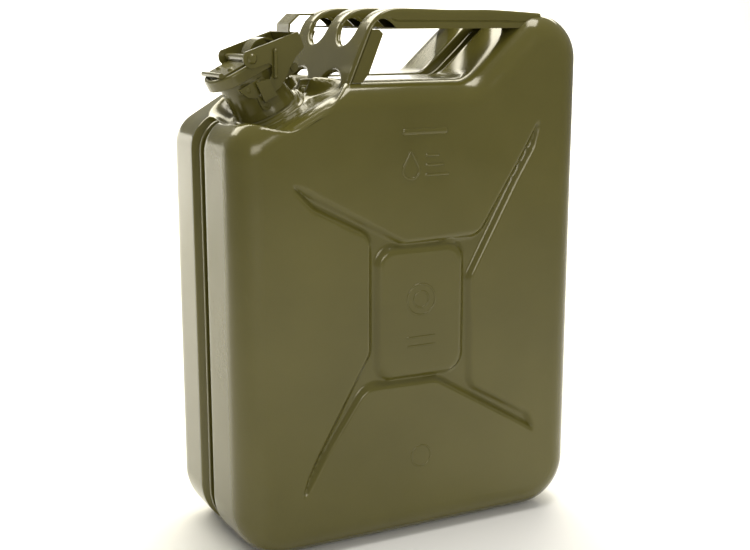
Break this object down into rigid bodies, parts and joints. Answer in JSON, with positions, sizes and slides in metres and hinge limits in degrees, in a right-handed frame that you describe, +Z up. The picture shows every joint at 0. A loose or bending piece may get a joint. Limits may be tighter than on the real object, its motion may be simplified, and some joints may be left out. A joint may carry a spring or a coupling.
{
  "type": "jerry can",
  "caption": "Upright pressed-steel fuel can with a slanted filler neck, cam-lever lid and a triple-bar carrying handle.",
  "frame": {"origin": "middle of the base, on the ground", "axes": "+X towards the handle end, -X towards the spout, -Y the near face, +Z up"},
  "size_m": [0.345, 0.165, 0.475],
  "materials": {
    "body_paint": "glossy olive-drab enamel",
    "fitting_paint": "glossy olive-drab enamel on small stampings",
    "gasket_rubber": "matt black rubber"
  },
  "bodies": {
    "can": {"front_shell": "body_paint", "back_shell": "body_paint", "seam_weld_bead": "body_paint", "neck_tube": "fitting_paint", "neck_collar": "fitting_paint", "lug_near": "fitting_paint", "lug_far": "fitting_paint", "lug_rivets": "fitting_paint", "hinge_bracket": "fitting_paint", "hinge_pin": "fitting_paint", "breather_tube": "fitting_paint", "breather_clip": "fitting_paint", "handle_saddle": "body_paint", "saddle_gusset_near": "body_paint", "saddle_gusset_far": "body_paint", "handle_bar_near": "body_paint", "handle_bar_middle": "body_paint", "handle_bar_far": "body_paint", "handle_liner_near": "body_paint", "handle_liner_middle": "body_paint", "handle_liner_far": "body_paint"},
    "lid": {"lid_cap": "fitting_paint", "lid_gasket": "gasket_rubber", "gasket_retainer": "fitting_paint", "lid_arm": "fitting_paint", "arm_rivets": "fitting_paint", "lever_pin": "fitting_paint"},
    "lever": {"lever_yoke": "fitting_paint"},
    "wire": {"safety_wire": "fitting_paint"}
  },
  "joints": [
    {"name": "lid_swing", "type": "hinge", "parent": "can", "child": "lid", "pos_m": [-0.08605, 0, 0.42429], "axis": [0, 1, 0], "range_deg": [0, 80]},
    {"name": "lever_throw", "type": "hinge", "parent": "lid", "child": "lever", "pos_m": [-0.13263, 0, 0.43333], "axis": [0, -1, 0], "range_deg": [0, 128]},
    {"name": "wire_swing", "type": "hinge", "parent": "lever", "child": "wire", "pos_m": [-0.11238, 0, 0.43984], "axis": [0, 1, 0], "range_deg": [-110, 8]}
  ],
  "couplings": [
    {"joint": "lever_throw", "follows": "lid_swing", "ratio": 1.6}
  ]
}
